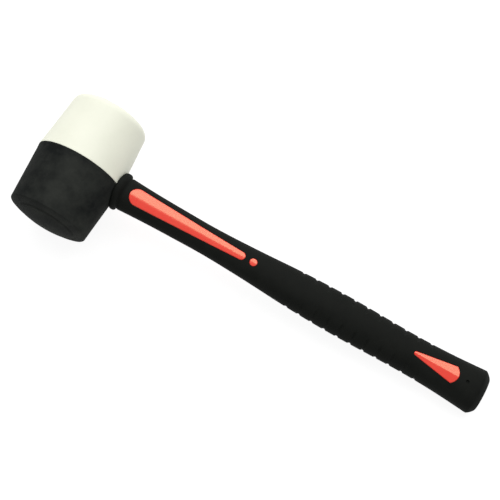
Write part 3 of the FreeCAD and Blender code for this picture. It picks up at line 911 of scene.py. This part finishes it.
class Shader:
    """A small helper to lay out one material's nodes."""

    def __init__(self, name):
        self.material = bpy.data.materials.new(name)
        self.material.use_nodes = True
        self.tree = self.material.node_tree
        self.bsdf = self.tree.nodes["Principled BSDF"]
        self.place = self.add("ShaderNodeTexCoord").outputs["Object"]

    def add(self, kind, **settings):
        node = self.tree.nodes.new(kind)
        for key, value in settings.items():
            setattr(node, key, value)
        return node

    def link(self, output, target):
        self.tree.links.new(output, target)

    def noise(self, scale, detail=4.0, roughness=0.55, stretch=(1, 1, 1), shift=(0, 0, 0)):
        """Noise whose features are about 1/scale metres across."""
        mapping = self.add("ShaderNodeMapping")
        mapping.inputs["Location"].default_value = shift
        mapping.inputs["Scale"].default_value = stretch
        self.link(self.place, mapping.inputs["Vector"])
        texture = self.add("ShaderNodeTexNoise")
        texture.inputs["Scale"].default_value = scale
        texture.inputs["Detail"].default_value = detail
        texture.inputs["Roughness"].default_value = roughness
        self.link(mapping.outputs["Vector"], texture.inputs["Vector"])
        return texture.outputs["Fac"]

    def ramp(self, factor, stops):
        """Map a factor through stops of (position, grey or colour)."""
        node = self.add("ShaderNodeValToRGB")
        elements = node.color_ramp.elements
        while len(elements) < len(stops):
            elements.new(0.5)
        for element, (position, value) in zip(elements, stops):
            element.position = position
            rgb = value if isinstance(value, tuple) else (value, value, value)
            element.color = (*rgb, 1)
        self.link(factor, node.inputs["Fac"])
        return node.outputs["Color"]

    def mix(self, factor, first, second):
        """Blend two colours, each an output or a plain colour."""
        node = self.add("ShaderNodeMix", data_type="RGBA")
        self.feed(factor, node.inputs[0])
        self.feed(first, node.inputs[6])
        self.feed(second, node.inputs[7])
        return node.outputs[2]

    def feed(self, value, target):
        if isinstance(value, bpy.types.NodeSocket):
            self.link(value, target)
        elif isinstance(value, tuple):
            target.default_value = (*value, 1)
        else:
            target.default_value = value

    def bump(self, height, distance, strength=1.0, below=None):
        """Add one layer of relief, in metres."""
        node = self.add("ShaderNodeBump")
        node.inputs["Strength"].default_value = strength
        node.inputs["Distance"].default_value = distance
        self.link(height, node.inputs["Height"])
        if below is not None:
            self.link(below, node.inputs["Normal"])
        return node.outputs["Normal"]

    def finish(self, colour, roughness, normal=None, **sockets):
        self.feed(colour, self.bsdf.inputs["Base Color"])
        self.feed(roughness, self.bsdf.inputs["Roughness"])
        if normal is not None:
            self.link(normal, self.bsdf.inputs["Normal"])
        for name, value in sockets.items():
            self.bsdf.inputs[name.replace("_", " ")].default_value = value
        return self.material


def black_rubber():
    """Vulcanised rubber with a mottled, faintly dusty bloom."""
    shader = Shader("black_rubber")
    blotches = shader.noise(42, 5, 0.62, shift=(0.3, 0.2, 0))
    dust = shader.noise(260, 4, 0.6)
    base = shader.ramp(blotches, [(0.34, (0.0098, 0.0110, 0.0108)),
                                  (0.66, (0.0288, 0.0309, 0.0275))])
    colour = shader.mix(shader.ramp(dust, [(0.52, 0.0), (0.78, 0.35)]), base, (0.030, 0.032, 0.029))
    roughness = shader.ramp(blotches, [(0.3, 0.60), (0.7, 0.74)])
    grain = shader.bump(shader.noise(2600, 3, 0.6), 0.00004, 0.5)
    relief = shader.bump(shader.noise(420, 3, 0.5), 0.00012, 0.4, below=grain)
    return shader.finish(colour, roughness, relief, Specular_IOR_Level=0.015)


def white_rubber():
    """Off-white rubber, slightly warm, with faint handling marks."""
    shader = Shader("white_rubber")
    tint = shader.noise(38, 4, 0.55)
    marks = shader.noise(150, 5, 0.65)
    base = shader.ramp(tint, [(0.3, (0.762, 0.773, 0.650)), (0.7, (0.806, 0.815, 0.692))])
    colour = shader.mix(shader.ramp(marks, [(0.6, 0.0), (0.85, 0.22)]), base, (0.66, 0.66, 0.54))
    roughness = shader.ramp(marks, [(0.3, 0.50), (0.75, 0.62)])
    grain = shader.bump(shader.noise(2200, 3, 0.6), 0.00003, 0.45)
    relief = shader.bump(shader.noise(380, 3, 0.5), 0.0001, 0.35, below=grain)
    return shader.finish(colour, roughness, relief)


def soft_skin():
    """Matte black elastomer with a fine sparked grain."""
    shader = Shader("soft_skin")
    wear = shader.noise(90, 5, 0.6)
    colour = shader.ramp(wear, [(0.3, (0.0074, 0.0082, 0.0071)), (0.75, (0.0108, 0.0118, 0.0102))])
    roughness = shader.ramp(wear, [(0.3, 0.60), (0.75, 0.72)])
    grain = shader.bump(shader.noise(3600, 2, 0.5), 0.00005, 0.6)
    return shader.finish(colour, roughness, grain, Specular_IOR_Level=0.05)


def red_plastic():
    """Semi-gloss moulded polypropylene."""
    shader = Shader("red_plastic")
    flow = shader.noise(30, 3, 0.5, stretch=(0.35, 1, 1))
    colour = shader.ramp(flow, [(0.3, (0.90, 0.0145, 0.0190)), (0.7, (0.93, 0.0195, 0.0230))])
    roughness = shader.ramp(shader.noise(120, 3, 0.5), [(0.35, 0.27), (0.7, 0.33)])
    relief = shader.bump(shader.noise(160, 2, 0.5), 0.00004, 0.08)
    return shader.finish(colour, roughness, relief, Specular_IOR_Level=1.0,
                         Specular_Tint=(0.1, 0.97, 0.50, 1.0), Coat_Weight=1.0, Coat_Roughness=0.3,
                         Coat_Tint=(1.0, 0.97, 0.84, 1.0))


def rod_fibre():
    """Glass fibre drawn along the rod in clear resin."""
    shader = Shader("rod_fibre")
    strands = shader.noise(1800, 4, 0.6, stretch=(0.02, 1, 1))
    colour = shader.ramp(strands, [(0.35, (0.52, 0.42, 0.20)), (0.65, (0.80, 0.74, 0.52))])
    roughness = shader.ramp(strands, [(0.3, 0.28), (0.7, 0.45)])
    return shader.finish(colour, roughness, shader.bump(strands, 0.00004, 0.5))


def cured_adhesive():
    """Amber resin with small bubbles."""
    shader = Shader("cured_adhesive")
    cloud = shader.noise(240, 4, 0.6)
    colour = shader.ramp(cloud, [(0.3, (0.42, 0.28, 0.10)), (0.7, (0.62, 0.48, 0.24))])
    roughness = shader.ramp(cloud, [(0.3, 0.2), (0.7, 0.4)])
    return shader.finish(colour, roughness, shader.bump(cloud, 0.0001, 0.3))


def pale_floor():
    """A near-white sweep with the faintest tooth."""
    shader = Shader("pale_floor")
    tooth = shader.noise(60, 3, 0.5)
    colour = shader.ramp(tooth, [(0.3, (0.17, 0.17, 0.17)), (0.7, (0.19, 0.19, 0.19))])
    return shader.finish(colour, 0.8, Emission_Color=(1, 1, 1, 1), Emission_Strength=0.9)


# ---------------------------------------------------------------- stage

CAMERA_TILT = math.radians(-16.2)     # about the handle, towards the black side
CAMERA_SWING = math.radians(-1.8)     # about the head's axis
CAMERA_TURN = math.radians(-0.39)
CAMERA_ROLL = math.radians(29.49)     # the handle falls to the lower right of the frame
CAMERA_DISTANCE = 900.0
CAMERA_AIM = (120.0, 0.0, 0.0)        # a place on the handle's axis
CAMERA_SHIFT = (11.8, 8.76)           # the picture's middle, from that place, across the view
CAMERA_LENS = 93.254
CAMERA_SENSOR = 36.0
LIGHT_DISTANCE = 1.6                  # metres
SOFTBOX_WAY = (-0.26, 0.50, 0.83)     # from the mallet's middle, in the mallet's frame
SOFTBOX_SIZE = (2.3, 1.8)             # metres
SOFTBOX_POWER = 31.5                  # watts
WORLD_STRENGTH = 0.41
FLOOR_HALF = 3.0                      # metres
FLOOR_DROP = 0.0002                   # metres below the ground that the mallet rests on


def camera_axes():
    """Right, up and back of the camera in the mallet's frame, and the view's own rotation."""
    view = Matrix.Rotation(CAMERA_TURN, 3, "Z") @ Matrix.Rotation(CAMERA_TILT, 3, "X")
    view = view @ Matrix.Rotation(CAMERA_SWING, 3, "Y")
    roll = Matrix.Rotation(CAMERA_ROLL, 3, "Z")
    right = view.transposed() @ roll @ Vector((1, 0, 0))
    up = view.transposed() @ roll @ Vector((0, 1, 0))
    back = view.transposed() @ Vector((0, 0, 1))
    return right, up, back, view


def add_camera():
    right, up, back, view = camera_axes()
    offset = Vector((CAMERA_SHIFT[0], CAMERA_SHIFT[1], CAMERA_DISTANCE))
    place = view.transposed() @ offset + Vector(CAMERA_AIM)
    data = bpy.data.cameras.new("camera")
    data.sensor_width = CAMERA_SENSOR
    data.lens = CAMERA_LENS
    data.clip_start = 0.05
    data.clip_end = 20
    camera = bpy.data.objects.new("camera", data)
    axes = Matrix((TURN @ right, TURN @ up, TURN @ back)).transposed().to_4x4()
    camera.matrix_world = Matrix.Translation(TO_ROW @ place) @ axes
    bpy.context.scene.collection.objects.link(camera)
    bpy.context.scene.camera = camera


def add_softbox(name, direction, width, height, power):
    """An area light that faces the mallet's middle from a direction in the mallet's frame."""
    way = (TURN @ Vector(direction)).normalized()
    data = bpy.data.lights.new(name, "AREA")
    data.shape = "RECTANGLE"
    data.size = width
    data.size_y = height
    data.energy = power
    light = bpy.data.objects.new(name, data)
    light.location = (Vector(cad_box[0]) + Vector(cad_box[1])) / 2 + way * LIGHT_DISTANCE
    light.rotation_euler = (-way).to_track_quat("-Z", "Y").to_euler()
    bpy.context.scene.collection.objects.link(light)


def add_floor():
    mesh = bpy.data.meshes.new("floor")
    corners = [(x * FLOOR_HALF, y * FLOOR_HALF, 0) for x, y in ((-1, -1), (1, -1), (1, 1), (-1, 1))]
    mesh.from_pydata(corners, [], [(0, 1, 2, 3)])
    floor = bpy.data.objects.new("floor", mesh)
    floor.location.z = -FLOOR_DROP
    mesh.materials.append(pale_floor())
    bpy.context.scene.collection.objects.link(floor)


def add_world():
    world = bpy.data.worlds.new("studio")
    world.use_nodes = True
    background = world.node_tree.nodes["Background"]
    background.inputs["Color"].default_value = (1, 1, 1, 1)
    background.inputs["Strength"].default_value = WORLD_STRENGTH
    bpy.context.scene.world = world


def set_stage():
    bpy.context.scene.view_settings.view_transform = "Standard"
    add_camera()
    add_floor()
    add_world()
    add_softbox("overhead", SOFTBOX_WAY, *SOFTBOX_SIZE, SOFTBOX_POWER)


# ---------------------------------------------------------------- build

head_half("head_black_rubber", -1, head_profile(BLACK_RIM, BLACK_CROWN, BLACK_ROUND),
          "head_black_half", black_rubber(), seed=3.0)
head_half("head_white_rubber", 1, head_profile(WHITE_RIM, 0, WHITE_ROUND),
          "head_white_half", white_rubber(), seed=11.0)
grip_skin(soft_skin())
red_body(red_plastic())
for node, make in (("handle_core_rod", rod_fibre), ("socket_adhesive", cured_adhesive)):
    frame["nodes"][node].data.materials.clear()
    frame["nodes"][node].data.materials.append(make())
set_stage()
